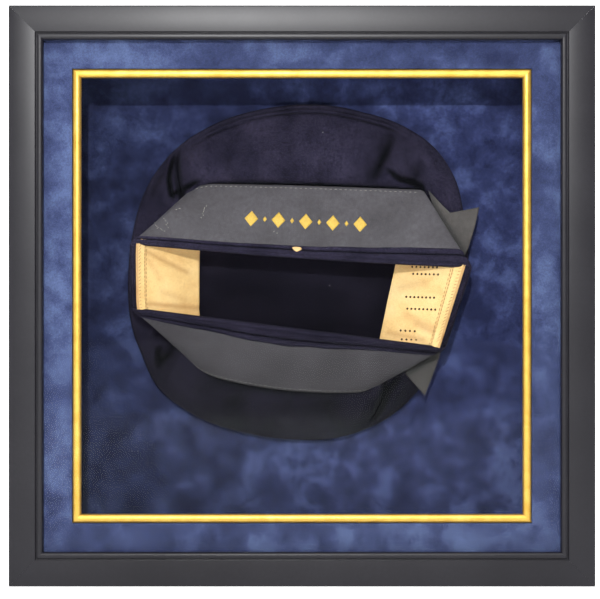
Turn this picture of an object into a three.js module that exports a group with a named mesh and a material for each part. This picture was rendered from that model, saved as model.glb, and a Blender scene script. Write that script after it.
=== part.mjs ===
// A sailor's flat cap lying on its crown in a glazed shadow box that stands on its bottom rail.
// Millimetres. Inside the group x runs right, y up and z out of the box towards the viewer, from the board's face.
import * as THREE from "three";

// Shadow box
const frameWidth = 382;
const frameHeight = 378.5;
const mouldingWidth = 22; // from the frame's outer edge to its sight edge
const railWall = 14.5; // the moulding's wall behind its front lip
const lipThickness = 5.2;
const beadWidth = 3.6; // raised bead along the sight edge
const grooveWidth = 1.2;
const grooveDepth = 1.4;
const faceSlope = 0.3; // how far the main face falls towards the groove
const edgeRound = 2.4;
const glassThickness = 2;
const matReveal = 18; // mat seen between the moulding and the fillet
const matThickness = 4;
const filletWidth = 5.5;
const filletHeight = 4.6;
const spacerThickness = 8;
const boardThickness = 5;
const coverThickness = 2;
const coverMargin = 4; // from the frame's outer edge in to the back cover
const headroom = 16; // from the cap's mouth to the mat
const gap = 0.3; // between pieces that touch

// Cap
const clothWall = 1.6;
const ribbonWall = 0.8;
const leatherWall = 1;
const edgingWall = 1;
const crownRadius = 117;
const crownCentreX = -3.4; // from the cap's own middle, which lies capShift from the box's
const crownCentreY = 16.5;
const capShiftX = 0.5;
const capShiftY = 1.1;
const edgeHeight = 7; // the crown's edge above the board
const tipBend = 6; // width of the turned-up edge of the tip
const seamHeight = 14; // where the band is sewn to the crown
const mouthHeight = 35; // the band's free edge above the board
const seamHalfLength = 80;
const seamHalfHeight = 67;
const mouthHalfLength = 114;
const mouthHalfHeight = 32;
const seamRound = 30; // how far the loosest corner of the seam starts to turn before its point
const mouthRound = 5;
const bandWidth = 52; // along the slant, welt included
const weltWidth = 11;
const weltRidge = 1.7;
const ribbonWidth = 38;
const ribbonInset = 2.6; // from the crown seam to the ribbon
const sweatbandTuck = 7; // how far the sweatband's free edge passes the crown seam
const tuckSlope = 0.5; // its slope there, in radians
const mouthSetback = 0.8; // from the welt's edge back to the leather's
const edgingWidth = 6.5;
const puffHeight = 9; // how far the full side of the crown billows
const foldDepth = 4.5;
const tailWall = 0.9;
const tailLength = 67;
const knotLength = 15;
const knotWidth = 12.4;
const knotThickness = 4.4;

const stepsPerSide = 18;
const beadSteps = 6;

// Crown outline: angle in degrees about the crown's centre, anticlockwise from the right, and share of crownRadius.
const crownOutline = [
  { angle: 0, reach: 0.997 }, { angle: 20, reach: 1.034 }, { angle: 30, reach: 1.07 },
  { angle: 42, reach: 1.08 }, { angle: 56, reach: 1.045 }, { angle: 68, reach: 1.004 },
  { angle: 90, reach: 0.975 }, { angle: 104, reach: 0.972 }, { angle: 120, reach: 0.99 },
  { angle: 137, reach: 1.012 }, { angle: 152, reach: 1.01 }, { angle: 168, reach: 0.994 },
  { angle: 182, reach: 0.997 }, { angle: 200, reach: 1.03 }, { angle: 208, reach: 1.04 },
  { angle: 220, reach: 1.07 }, { angle: 234, reach: 1.045 }, { angle: 250, reach: 1.006 },
  { angle: 266, reach: 0.993 }, { angle: 284, reach: 1.01 }, { angle: 300, reach: 1.015 },
  { angle: 312, reach: 1.003 }, { angle: 330, reach: 0.968 }, { angle: 345, reach: 0.97 },
];

// The band's four corners, anticlockwise from the lower right: shares of the seam's and the mouth's half sizes.
// round is a share of seamRound, and bow is how far the seam's side after that corner swells, as a share of
// seamHalfHeight.
const bandCorners = [
  { seamX: 0.64, seamY: -0.97, mouthX: 0.836, mouthY: -1.125, round: 0.6, bow: 0 },
  { seamX: 1, seamY: 1.06, mouthX: 0.992, mouthY: 0.569, round: 0.2, bow: 0.01 },
  { seamX: -1, seamY: 1.12, mouthX: -1.011, mouthY: 1.066, round: 0.85, bow: 0.02 },
  { seamX: -1.01, seamY: -0.746, mouthX: -1.006, mouthY: -0.29, round: 1, bow: 0.11 },
];

// How full the crown's side is, by angle: share of puffHeight. A slack side billows close to its edge and a full one
// half way in, by these powers.
const slackPuff = 0.45;
const fullPuff = 0.9;
const crownPuff = [
  { angle: 0, share: 0.25 }, { angle: 26, share: 0.3 }, { angle: 55, share: 0.95 }, { angle: 90, share: 0.75 },
  { angle: 120, share: 1 }, { angle: 150, share: 0.5 }, { angle: 180, share: 0.25 }, { angle: 208, share: 0.35 },
  { angle: 235, share: 0.95 }, { angle: 270, share: 0.85 }, { angle: 295, share: 0.95 }, { angle: 318, share: 0.35 },
];

// Gathers and creases of the crown's side: angles at the seam and at the edge, half width in degrees, share of
// foldDepth (below zero is a ridge), and the shares of the way in from the edge where the crease starts and ends.
const crownFolds = [
  { seam: 149, edge: 134, spread: 3.5, depth: 1, start: 0.25, end: 1 },
  { seam: 139, edge: 127, spread: 5, depth: -0.5, start: 0.3, end: 0.95 },
  { seam: 50, edge: 57, spread: 5, depth: 0.75, start: 0.1, end: 0.95 },
  { seam: 34, edge: 45, spread: 4, depth: 0.55, start: 0.35, end: 1 },
  { seam: 209, edge: 216, spread: 3.5, depth: 0.7, start: 0.3, end: 1 },
  { seam: 202, edge: 206, spread: 3, depth: 0.4, start: 0.3, end: 0.9 },
  { seam: 312, edge: 294, spread: 4.5, depth: 0.9, start: 0.15, end: 1 },
  { seam: 322, edge: 306, spread: 5, depth: -0.45, start: 0.2, end: 0.9 },
  { seam: 284, edge: 280, spread: 4.5, depth: 0.45, start: 0.4, end: 1 },
  { seam: 268, edge: 264, spread: 4, depth: 0.35, start: 0.5, end: 1 },
  { seam: 96, edge: 94, spread: 6, depth: 0.3, start: 0.3, end: 0.95 },
  { seam: 246, edge: 243, spread: 5, depth: 0.35, start: 0.35, end: 1 },
];

// Tails of the bow. reach is a share of tailLength from the knot, left and right are shares of ribbonWidth
// across the tail, lift is a share of seamHeight above the board, and cut is how far the middle is notched.
const upperTail = [
  { reach: 0.1, left: -0.1, right: 0.1, lift: 1.5, cut: 0 },
  { reach: 0.36, left: -0.14, right: 0.28, lift: 1.3, cut: 0 },
  { reach: 0.62, left: -0.28, right: 0.33, lift: 1.22, cut: 0 },
  { reach: 0.84, left: -0.44, right: 0.32, lift: 1.2, cut: 0 },
  { reach: 1.04, left: -0.66, right: 0.29, lift: 1.2, cut: 0.15 },
];
const lowerTail = [
  { reach: 0.1, left: -0.1, right: 0.1, lift: 1.5, cut: 0 },
  { reach: 0.34, left: -0.05, right: 0.38, lift: 1.3, cut: 0 },
  { reach: 0.52, left: 0, right: 0.49, lift: 1.26, cut: 0 },
  { reach: 0.94, left: 0.03, right: 0.49, lift: 1.22, cut: 0.14 },
];
const upperTailAngle = 72;
const lowerTailAngle = 249;

const paint = (color, roughness, metalness = 0) =>
  new THREE.MeshStandardMaterial({ color, roughness, metalness });
const charcoal = paint(0x2b2b2f, 0.35);
const suedeBlue = paint(0x2d3464, 0.95);
const gilt = paint(0xc9962e, 0.3, 0.8);
const glassClear = paint(0xdfeceb, 0.05);
const coverPaper = paint(0x6d5b45, 0.9);
const navyWool = paint(0x1d1d28, 0.95);
const ribbonBlack = paint(0x35343a, 0.7);
const tanLeather = paint(0xe0bd85, 0.6);

const named = (name, geometry, material) => {
  const mesh = new THREE.Mesh(geometry, material);
  mesh.name = name;
  return mesh;
};

const mix = (a, b, t) => a + (b - a) * t;
const between = (t, low, high) => Math.min(1, Math.max(0, (t - low) / (high - low)));
const smooth = (t) => t * t * (3 - 2 * t);
const radians = (degrees) => (degrees * Math.PI) / 180;
const turn = (a, b) => ((((a - b) % 360) + 540) % 360) - 180;

// Smooth closed curve through a table of angles, read at any angle.
function roundTable(rows, column) {
  return (angle) => {
    const a = ((angle % 360) + 360) % 360;
    let k = rows.length - 1;
    while (k > 0 && rows[k].angle > a) k -= 1;
    const row = (n) => rows[(n + rows.length) % rows.length];
    const span = (row(k + 1).angle - row(k).angle + 360) % 360;
    const t = ((a - row(k).angle + 360) % 360) / span;
    const [p0, p1, p2, p3] = [-1, 0, 1, 2].map((n) => row(k + n)[column]);
    const bend = 2 * p0 - 5 * p1 + 4 * p2 - p3;
    const twist = 3 * (p1 - p2) + p3 - p0;
    return p1 + 0.5 * t * (p2 - p0 + t * (bend + t * twist));
  };
}

// Closed solid between two faces, each a function of u and v that gives a point. The faces run anticlockwise in u
// seen from outside. A ring closes on itself in u, and a dish also closes at its middle, v = 1.
function sheet({ outer, inner, uStops, vStops, ring = true, dish = false }) {
  const positions = [];
  const faces = [];
  const columns = uStops.length;
  const rows = dish ? vStops.length - 1 : vStops.length;
  for (const face of [outer, inner])
    for (let j = 0; j < rows; j += 1)
      for (const u of uStops) positions.push(...face(u, vStops[j]).toArray());
  const skinSize = rows * columns;
  const at = (skin, i, j) => skin * skinSize + j * columns + (i % columns);
  const quad = (a, b, c, d) => faces.push(a, b, c, a, c, d);
  const steps = ring ? columns : columns - 1;
  for (let i = 0; i < steps; i += 1) {
    for (let j = 0; j < rows - 1; j += 1) {
      quad(at(0, i, j), at(0, i + 1, j), at(0, i + 1, j + 1), at(0, i, j + 1));
      quad(at(1, i, j), at(1, i, j + 1), at(1, i + 1, j + 1), at(1, i + 1, j));
    }
    quad(at(1, i + 1, 0), at(0, i + 1, 0), at(0, i, 0), at(1, i, 0));
    if (!dish) quad(at(0, i, rows - 1), at(0, i + 1, rows - 1), at(1, i + 1, rows - 1), at(1, i, rows - 1));
  }
  if (!ring)
    for (let j = 0; j < rows - 1; j += 1) {
      const last = columns - 1;
      quad(at(0, 0, j), at(0, 0, j + 1), at(1, 0, j + 1), at(1, 0, j));
      quad(at(0, last, j), at(1, last, j), at(1, last, j + 1), at(0, last, j + 1));
    }
  if (dish)
    for (const [skin, face] of [outer, inner].entries()) {
      const pole = positions.length / 3;
      positions.push(...face(0, 1).toArray());
      for (let i = 0; i < steps; i += 1) {
        const [a, b] = [at(skin, i, rows - 1), at(skin, i + 1, rows - 1)];
        if (skin === 0) faces.push(a, b, pole);
        else faces.push(b, a, pole);
      }
    }
  const geometry = new THREE.BufferGeometry();
  geometry.setAttribute("position", new THREE.Float32BufferAttribute(positions, 3));
  geometry.setIndex(faces);
  geometry.computeVertexNormals();
  return geometry;
}

// The same face moved along its own normal.
function movedFace(surface, distance) {
  const nudge = 1e-3;
  return (u, v) => {
    const alongU = surface(u + nudge, v).sub(surface(u - nudge, v));
    const alongV = surface(u, v + nudge).sub(surface(u, v - nudge));
    return surface(u, v).addScaledVector(alongU.cross(alongV).normalize(), distance);
  };
}

const evenStops = (count, from = 0, to = 1) =>
  Array.from({ length: count + 1 }, (_, i) => mix(from, to, i / count));

// The band is four flat walls between two four-cornered rings. A layer of it lies a distance out from the cloth's
// face, below zero inwards, and each wall's slant turns that distance into a move of its sides.
const seamCorners = bandCorners.map((c) => new THREE.Vector2(c.seamX * seamHalfLength, c.seamY * seamHalfHeight));
const mouthCorners = bandCorners.map(
  (c) => new THREE.Vector2(c.mouthX * mouthHalfLength, c.mouthY * mouthHalfHeight),
);
const cornerOf = (corners, k) => corners[(k + corners.length) % corners.length];
const sideOut = (corners, k) => {
  const [a, b] = [cornerOf(corners, k), cornerOf(corners, k + 1)];
  return new THREE.Vector2(b.y - a.y, a.x - b.x).normalize();
};
const bandRise = mouthHeight - seamHeight;
const wallRun = bandCorners.map((_, k) => {
  const middle = (corners) => cornerOf(corners, k).clone().lerp(cornerOf(corners, k + 1), 0.5);
  return middle(mouthCorners).sub(middle(seamCorners)).dot(sideOut(seamCorners, k));
});
const wallSpread = wallRun.map((run) => Math.hypot(run, bandRise) / bandRise);

// A wall that leans in over the opening is cut square at the mouth, so its inner layers end sooner.
const wallLean = wallRun.map((run) => Math.max(0, -run) / (bandRise * Math.hypot(run, bandRise)));
const leanEase = 0.12;
function leanAt(u) {
  const place = (((u % 1) + 1) % 1) * bandCorners.length;
  const side = Math.floor(place) % bandCorners.length;
  const t = place - Math.floor(place);
  return wallLean[side] * smooth(between(t, 0, leanEase)) * smooth(between(1 - t, 0, leanEase));
}
function movedCorners(corners, moves) {
  return corners.map((corner, k) => {
    const last = (k + corners.length - 1) % corners.length;
    const [a, b] = [sideOut(corners, last), sideOut(corners, k)];
    const turnShare = a.x * b.y - a.y * b.x;
    const x = (moves[last] * b.y - moves[k] * a.y) / turnShare;
    const y = (moves[k] * a.x - moves[last] * b.x) / turnShare;
    return corner.clone().add(new THREE.Vector2(x, y));
  });
}
const layerCorners = (corners, distance) => movedCorners(corners, wallSpread.map((spread) => spread * distance));

// Point of a ring with rounded corners and swelling sides, read from u = 0 to 1.
function ringPoint(corners, rounds, bows, u) {
  const place = (((u % 1) + 1) % 1) * corners.length;
  const side = Math.floor(place) % corners.length;
  const t = place - Math.floor(place);
  const [start, end] = [cornerOf(corners, side), cornerOf(corners, side + 1)];
  const length = start.distanceTo(end);
  const startReach = rounds[side] / length;
  const endReach = rounds[(side + 1) % rounds.length] / length;
  const bent = (k, share) => {
    const corner = cornerOf(corners, k);
    const round = rounds[k % rounds.length];
    const toward = (other) => corner.clone().lerp(other, round / corner.distanceTo(other));
    const before = toward(cornerOf(corners, k - 1)).multiplyScalar((1 - share) ** 2);
    const after = toward(cornerOf(corners, k + 1)).multiplyScalar(share ** 2);
    return before.add(after).addScaledVector(corner, 2 * share * (1 - share));
  };
  let point = start.clone().lerp(end, t);
  if (t < startReach) point = bent(side, 0.5 + (0.5 * t) / startReach);
  if (t > 1 - endReach) point = bent(side + 1, 0.5 - (0.5 * (1 - t)) / endReach);
  return point.addScaledVector(sideOut(corners, side), bows[side] * seamHalfHeight * Math.sin(Math.PI * t));
}
const seamRounds = bandCorners.map((c) => c.round * seamRound);
const mouthRounds = bandCorners.map(() => mouthRound);
const bows = bandCorners.map((c) => c.bow);
const noBows = bandCorners.map(() => 0);
const seamRing = (u) => ringPoint(seamCorners, seamRounds, bows, u);
const ringStops = Array.from({ length: stepsPerSide * bandCorners.length }, (_, i) => {
  const side = Math.floor(i / stepsPerSide);
  const t = (i % stepsPerSide) / stepsPerSide;
  return (side + mix(t, 0.5 - 0.5 * Math.cos(Math.PI * t), 0.6)) / bandCorners.length;
});

// A layer's face from the crown seam, v = 0, to the mouth, v = 1.
function bandFace(distance) {
  const seam = layerCorners(seamCorners, distance);
  const mouth = layerCorners(mouthCorners, distance);
  return (u, v) => {
    const far = v * (1 + distance * leanAt(u));
    const at = ringPoint(seam, seamRounds, bows, u).lerp(ringPoint(mouth, mouthRounds, noBows, u), far);
    return new THREE.Vector3(at.x, at.y, mix(seamHeight, mouthHeight, far));
  };
}
const bandShare = (length) => length / bandWidth;
const weltStart = 1 - bandShare(weltWidth);
const leatherEnd = 1 - bandShare(mouthSetback);

// Crown
const outlineReach = roundTable(crownOutline, "reach");
const puffShare = roundTable(crownPuff, "share");
const crownAngle = (u) => {
  const at = seamRing(u);
  return (Math.atan2(at.y - crownCentreY, at.x - crownCentreX) * 180) / Math.PI;
};
function crownEdge(u) {
  const angle = crownAngle(u);
  const reach = crownRadius * outlineReach(angle);
  return new THREE.Vector2(
    crownCentreX + reach * Math.cos(radians(angle)),
    crownCentreY + reach * Math.sin(radians(angle)),
  );
}
const outsideCorners = movedCorners(seamCorners, bandCorners.map(() => 2 * gap));
const seamOutside = (u) => ringPoint(outsideCorners, seamRounds, bows, u);
function foldAt(angle, t) {
  let depth = 0;
  for (const fold of crownFolds) {
    const line = mix(fold.edge, fold.seam, t);
    const away = turn(angle, line) / fold.spread;
    const share = smooth(between(t, fold.start - 0.15, fold.start + 0.15)) * smooth(between(t, fold.end + 0.1, fold.end));
    depth += fold.depth * foldDepth * share * Math.exp(-away * away);
  }
  return depth;
}
function crownSideFace(u, t) {
  const at = crownEdge(u).lerp(seamOutside(u), t);
  const angle = crownAngle(u);
  const share = puffShare(angle);
  const full = Math.sin(Math.PI * between(t, 0, 1) ** mix(slackPuff, fullPuff, share));
  const rise = puffHeight * share * full;
  const fold = foldAt(angle, t) * full ** 0.5;
  return new THREE.Vector3(at.x, at.y, mix(edgeHeight, seamHeight - 2 * gap, t) + rise - fold);
}
function crownTipFace(u, v, wall) {
  const edge = crownEdge(u);
  const centre = new THREE.Vector2(crownCentreX, crownCentreY);
  const bend = tipBend / crownRadius;
  const inward = v < 0.5 ? bend * between(v, 0, 0.5) : mix(bend, 1, between(v, 0.5, 1));
  const at = edge.lerp(centre, inward);
  const lift = (edgeHeight - clothWall - 3 * gap) * (1 - Math.sin((Math.PI / 2) * between(v, 0, 0.5)) ** 0.7);
  const lean = wall * (1 - between(v, 0, 0.5));
  const centred = at.lerp(centre, lean / crownRadius);
  return new THREE.Vector3(centred.x, centred.y, gap + lift + wall * between(v, 0, 0.3));
}

const crownTip = sheet({
  outer: (u, v) => crownTipFace(u, v, clothWall),
  inner: (u, v) => crownTipFace(u, v, 0),
  uStops: ringStops,
  vStops: [0, 0.12, 0.3, 0.5, 0.75, 1],
  dish: true,
});
const ringOf = (outer, inner, vStops) => sheet({ outer, inner, uStops: ringStops, vStops });
const crownSide = ringOf(
  crownSideFace,
  movedFace(crownSideFace, -clothWall),
  [0, 0.05, 0.14, 0.27, 0.42, 0.57, 0.72, 0.86, 1],
);

// Band and what is sewn to it, from the outside in
const ribbonSkin = gap + ribbonWall;
const leatherSkin = -clothWall - gap;
const edgingSkin = leatherSkin - leatherWall - gap;
const ribbonStart = bandShare(ribbonInset);
const ribbonEnd = ribbonStart + bandShare(ribbonWidth);
const clothBand = ringOf(bandFace(0), bandFace(-clothWall), evenStops(2, 0, weltStart - bandShare(gap)));
const ribbonBand = ringOf(bandFace(ribbonSkin), bandFace(gap), evenStops(2, ribbonStart, ribbonEnd));
// Past the crown seam the leather turns in and down, towards the crown's middle.
function leatherFace(distance) {
  const face = bandFace(distance);
  return (u, v) => {
    const past = Math.max(0, -v) * bandWidth;
    const point = face(u, Math.max(0, v));
    const inward = new THREE.Vector3(crownCentreX - point.x, crownCentreY - point.y, 0).normalize();
    return point.addScaledVector(inward, past * Math.cos(tuckSlope)).setZ(point.z - past * Math.sin(tuckSlope));
  };
}
const leatherBand = ringOf(
  leatherFace(leatherSkin),
  leatherFace(leatherSkin - leatherWall),
  [-bandShare(sweatbandTuck), ...evenStops(2, 0, leatherEnd)],
);
const edgingBand = ringOf(
  bandFace(edgingSkin),
  bandFace(edgingSkin - edgingWall),
  evenStops(1, leatherEnd - bandShare(edgingWidth), leatherEnd),
);
const weltRow = (v) => (v - weltStart) / (1 - weltStart);
const weltFace = (u, v) => bandFace(gap + weltRidge * Math.abs(Math.sin(2 * Math.PI * weltRow(v))) ** 0.8)(u, v);
const weltBand = ringOf(weltFace, bandFace(-clothWall), evenStops(beadSteps, weltStart, 1));

// Bow at the right-hand end
const rightMiddle = 0.5 / bandCorners.length;
const knotSeat = 0.52;
const ribbonFace = bandFace(ribbonSkin);
const knotCentre = movedFace(ribbonFace, gap + knotThickness / 2)(rightMiddle, knotSeat);
const knotNormal = movedFace(ribbonFace, 1)(rightMiddle, knotSeat).sub(ribbonFace(rightMiddle, knotSeat));
const knotBall = new THREE.SphereGeometry(1, 12, 8);
knotBall.scale(knotLength / 2, knotWidth / 2, knotThickness / 2);

function tail(rows, angle, notchAt) {
  const along = new THREE.Vector2(Math.cos(radians(angle)), Math.sin(radians(angle)));
  const rightward = along.y > 0 ? 1 : -1;
  const across = new THREE.Vector2(along.y, -along.x).multiplyScalar(rightward);
  const face = (lift) => (u, v) => {
    const place = v * (rows.length - 1);
    const k = Math.min(Math.floor(place), rows.length - 2);
    const value = (column) => mix(rows[k][column], rows[k + 1][column], place - k);
    const notch = value("cut") * (1 - Math.abs(u - notchAt) / Math.max(notchAt, 1 - notchAt));
    const at = new THREE.Vector2(knotCentre.x, knotCentre.y);
    at.addScaledVector(along, tailLength * (value("reach") - notch));
    at.addScaledVector(across, ribbonWidth * mix(value("left"), value("right"), u));
    return new THREE.Vector3(at.x, at.y, seamHeight * value("lift") + lift);
  };
  const [top, foot] = [face(tailWall), face(0)];
  return sheet({
    outer: rightward > 0 ? top : foot,
    inner: rightward > 0 ? foot : top,
    uStops: evenStops(4),
    vStops: evenStops(rows.length * 2 - 2),
    ring: false,
  });
}

// Shadow box, from the cap's height
const matBack = mouthHeight + headroom;
const matFront = matBack + matThickness;
const glassBack = matBack + Math.max(matThickness, filletHeight) + gap;
const lipBack = glassBack + glassThickness + gap;
const frontPlane = lipBack + lipThickness;
const boardBack = -boardThickness;
const railBack = boardBack - gap;
const coverBack = railBack - gap - coverThickness;
const sight = { x: frameWidth / 2 - mouldingWidth, y: frameHeight / 2 - mouldingWidth };
const rebate = { x: frameWidth / 2 - railWall, y: frameHeight / 2 - railWall };
const inside = { x: rebate.x - gap, y: rebate.y - gap };
const window = { x: sight.x - matReveal, y: sight.y - matReveal };

// The moulding's section: u runs in from the outer edge, and z is the height above the board.
function mouldingSection() {
  const shape = new THREE.Shape();
  const grooveStart = mouldingWidth - beadWidth - grooveWidth;
  const beadTop = frontPlane - faceSlope;
  shape.moveTo(0, railBack);
  shape.lineTo(railWall, railBack);
  shape.lineTo(railWall, lipBack);
  shape.lineTo(mouldingWidth, lipBack);
  shape.lineTo(mouldingWidth, beadTop - beadWidth / 2);
  shape.absarc(mouldingWidth - beadWidth / 2, beadTop - beadWidth / 2, beadWidth / 2, 0, Math.PI / 2, false);
  shape.lineTo(mouldingWidth - beadWidth, beadTop);
  shape.lineTo(mouldingWidth - beadWidth, beadTop - grooveDepth);
  shape.lineTo(grooveStart, beadTop - grooveDepth);
  shape.lineTo(grooveStart, beadTop);
  shape.lineTo(edgeRound, frontPlane);
  shape.absarc(edgeRound, frontPlane - edgeRound, edgeRound, Math.PI / 2, Math.PI, false);
  shape.closePath();
  return shape;
}
function filletSection() {
  const shape = new THREE.Shape();
  const half = filletWidth / 2;
  shape.moveTo(0, matBack);
  shape.lineTo(filletWidth, matBack);
  shape.absellipse(half, matBack + filletHeight / 2, half, filletHeight / 2, 0, Math.PI, false, 0);
  shape.closePath();
  return shape;
}

// A length of moulding with mitred ends. distance is from the box's centre to the section's outer edge,
// half is half the length along that edge, and angle is the side it stands on.
function mitredLength(section, distance, half, angle) {
  const geometry = new THREE.ExtrudeGeometry(section, { depth: 1, bevelEnabled: false, curveSegments: beadSteps });
  const position = geometry.getAttribute("position");
  for (let i = 0; i < position.count; i += 1) {
    const [u, z, end] = [position.getX(i), position.getY(i), position.getZ(i)];
    const reach = half - u - gap * Math.SQRT1_2;
    position.setXYZ(i, distance - u, mix(-reach, reach, end), z);
  }
  geometry.computeVertexNormals();
  geometry.rotateZ(radians(angle));
  return geometry;
}
const sides = [
  { name: "right", angle: 0 }, { name: "top", angle: 90 }, { name: "left", angle: 180 }, { name: "bottom", angle: 270 },
];
const upright = (side) => side.angle % 180 === 0;

function board(width, height, thickness, back, hole = null) {
  const shape = new THREE.Shape();
  const trace = (path, w, h) => {
    path.moveTo(-w, -h);
    path.lineTo(w, -h);
    path.lineTo(w, h);
    path.lineTo(-w, h);
    path.closePath();
  };
  trace(shape, width, height);
  if (hole) {
    const path = new THREE.Path();
    trace(path, hole.x, hole.y);
    shape.holes.push(path);
  }
  const geometry = new THREE.ExtrudeGeometry(shape, { depth: thickness, bevelEnabled: false });
  geometry.translate(0, 0, back);
  return geometry;
}

const cap = new THREE.Group();
cap.position.set(capShiftX, capShiftY, 0);
cap.add(
  named("crown_tip", crownTip, navyWool),
  named("crown_side", crownSide, navyWool),
  named("headband", clothBand, navyWool),
  named("rim_welt", weltBand, navyWool),
  named("tally_ribbon", ribbonBand, ribbonBlack),
  named("sweatband", leatherBand, tanLeather),
  named("sweatband_edging", edgingBand, tanLeather),
  named("bow_tail_upper", tail(upperTail, upperTailAngle, 0.5), ribbonBlack),
  named("bow_tail_lower", tail(lowerTail, lowerTailAngle, 0), ribbonBlack),
);
const knot = named("bow_knot", knotBall, ribbonBlack);
knot.position.copy(knotCentre);
knot.quaternion.setFromUnitVectors(new THREE.Vector3(0, 0, 1), knotNormal);
cap.add(knot);

const shadowBox = new THREE.Group();
for (const side of sides) {
  const [out, half] = upright(side) ? ["x", "y"] : ["y", "x"];
  const outer = { x: frameWidth / 2, y: frameHeight / 2 };
  const rail = mitredLength(mouldingSection(), outer[out], outer[half], side.angle);
  shadowBox.add(named(`frame_${side.name}`, rail, charcoal));
  const fillet = mitredLength(filletSection(), window[out] - gap, window[half] - gap, side.angle);
  shadowBox.add(named(`fillet_${side.name}`, fillet, gilt));
}
shadowBox.add(
  named("glazing", board(inside.x, inside.y, glassThickness, glassBack), glassClear),
  named("mat", board(inside.x, inside.y, matThickness, matBack, window), suedeBlue),
  named("backing_board", board(inside.x, inside.y, boardThickness, boardBack), suedeBlue),
  named(
    "dust_cover",
    board(frameWidth / 2 - coverMargin, frameHeight / 2 - coverMargin, coverThickness, coverBack),
    coverPaper,
  ),
);
const spacerDepth = matBack - 2 * gap;
for (const side of sides) {
  const across = spacerThickness;
  const along = upright(side) ? 2 * (inside.y - spacerThickness - gap) : 2 * inside.x;
  const wall = new THREE.BoxGeometry(across, along, spacerDepth);
  const spacer = named(`spacer_${side.name}`, wall, suedeBlue);
  const reach = (upright(side) ? inside.x : inside.y) - spacerThickness / 2;
  spacer.position.set(reach * Math.cos(radians(side.angle)), reach * Math.sin(radians(side.angle)), matBack / 2);
  spacer.rotation.z = radians(side.angle);
  shadowBox.add(spacer);
}

// Stood up on the bottom rail, with the middle of its foot at the origin.
const part = new THREE.Group();
const stood = new THREE.Group();
stood.add(cap, shadowBox);
stood.rotation.x = Math.PI / 2;
stood.position.set(0, (frontPlane + coverBack) / 2, frameHeight / 2);
part.add(stood);

export default part;
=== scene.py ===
from math import atan2, cos, degrees, exp, hypot, pi, radians, sin

import bmesh
import bpy
from mathutils import Matrix, Vector, noise


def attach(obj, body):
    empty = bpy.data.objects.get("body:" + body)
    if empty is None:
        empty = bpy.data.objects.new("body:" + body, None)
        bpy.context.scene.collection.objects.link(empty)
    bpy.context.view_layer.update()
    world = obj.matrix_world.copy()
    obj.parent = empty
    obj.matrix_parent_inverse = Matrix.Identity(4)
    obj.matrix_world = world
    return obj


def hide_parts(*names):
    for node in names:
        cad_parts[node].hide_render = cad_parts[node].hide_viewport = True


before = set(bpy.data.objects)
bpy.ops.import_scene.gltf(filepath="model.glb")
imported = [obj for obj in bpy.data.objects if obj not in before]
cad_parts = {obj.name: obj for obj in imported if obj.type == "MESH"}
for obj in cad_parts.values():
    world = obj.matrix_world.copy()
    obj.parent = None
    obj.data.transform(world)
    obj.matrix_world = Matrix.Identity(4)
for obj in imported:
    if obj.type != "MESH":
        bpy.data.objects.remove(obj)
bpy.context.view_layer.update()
mm = 0.001

# What the cap and its box share with the part's source, in millimetres
box = {
    "width": 382, "height": 378.5, "moulding": 22, "railWall": 14.5, "lipBack": 58.2, "front": 63.4,
    "railBack": -5.3, "matBack": 51, "matReveal": 18, "filletGap": 0.3, "boardFace": 27.9,
}
cap = {
    "shiftX": 0.5, "shiftY": 1.1, "crownRadius": 117, "crownX": -3.4, "crownY": 16.5, "edgeHeight": 7,
    "seamHeight": 14, "mouthHeight": 35, "seamHalfLength": 80, "seamHalfHeight": 67,
    "mouthHalfLength": 114, "mouthHalfHeight": 32, "seamRound": 30, "mouthRound": 2.6, "bandWidth": 52,
    "clothWall": 1.6, "gap": 0.3, "ribbonWall": 0.8, "leatherWall": 1,
}


# Turns a place on the cap into the part's frame: x right, y up, h above the board, in millimetres.
def capPoint(x, y, h):
    return Vector((x + cap["shiftX"], box["boardFace"] - h,
                   box["height"] / 2 + y + cap["shiftY"])) * mm


def mix(a, b, t):
    return a + (b - a) * t


def between(t, low, high):
    return min(1, max(0, (t - low) / (high - low)))


def smooth(t):
    return t * t * (3 - 2 * t)


def hump(t, middle, spread):
    return exp(-((t - middle) / spread) ** 2)


def turnBetween(a, b):
    return (a - b + 540) % 360 - 180


# Smooth closed curve through rows of (angle, value), read at any angle.
def roundTable(rows, angle):
    a = angle % 360
    k = len(rows) - 1
    while k > 0 and rows[k][0] > a:
        k -= 1
    count = len(rows)
    span = (rows[(k + 1) % count][0] - rows[k][0] + 360) % 360
    t = ((a - rows[k][0] + 360) % 360) / span
    p0, p1, p2, p3 = [rows[(k + n) % count][1] for n in (-1, 0, 1, 2)]
    return p1 + 0.5 * t * (p2 - p0 + t * (2 * p0 - 5 * p1 + 4 * p2 - p3 + t * (3 * (p1 - p2) + p3 - p0)))


# Straight-line curve through rows of (place, value).
def openTable(rows, place):
    if place <= rows[0][0]:
        return rows[0][1]
    for (a, low), (b, high) in zip(rows, rows[1:]):
        if place <= b:
            return mix(low, high, smooth((place - a) / (b - a)))
    return rows[-1][1]


print("stage 1: materials")


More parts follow.
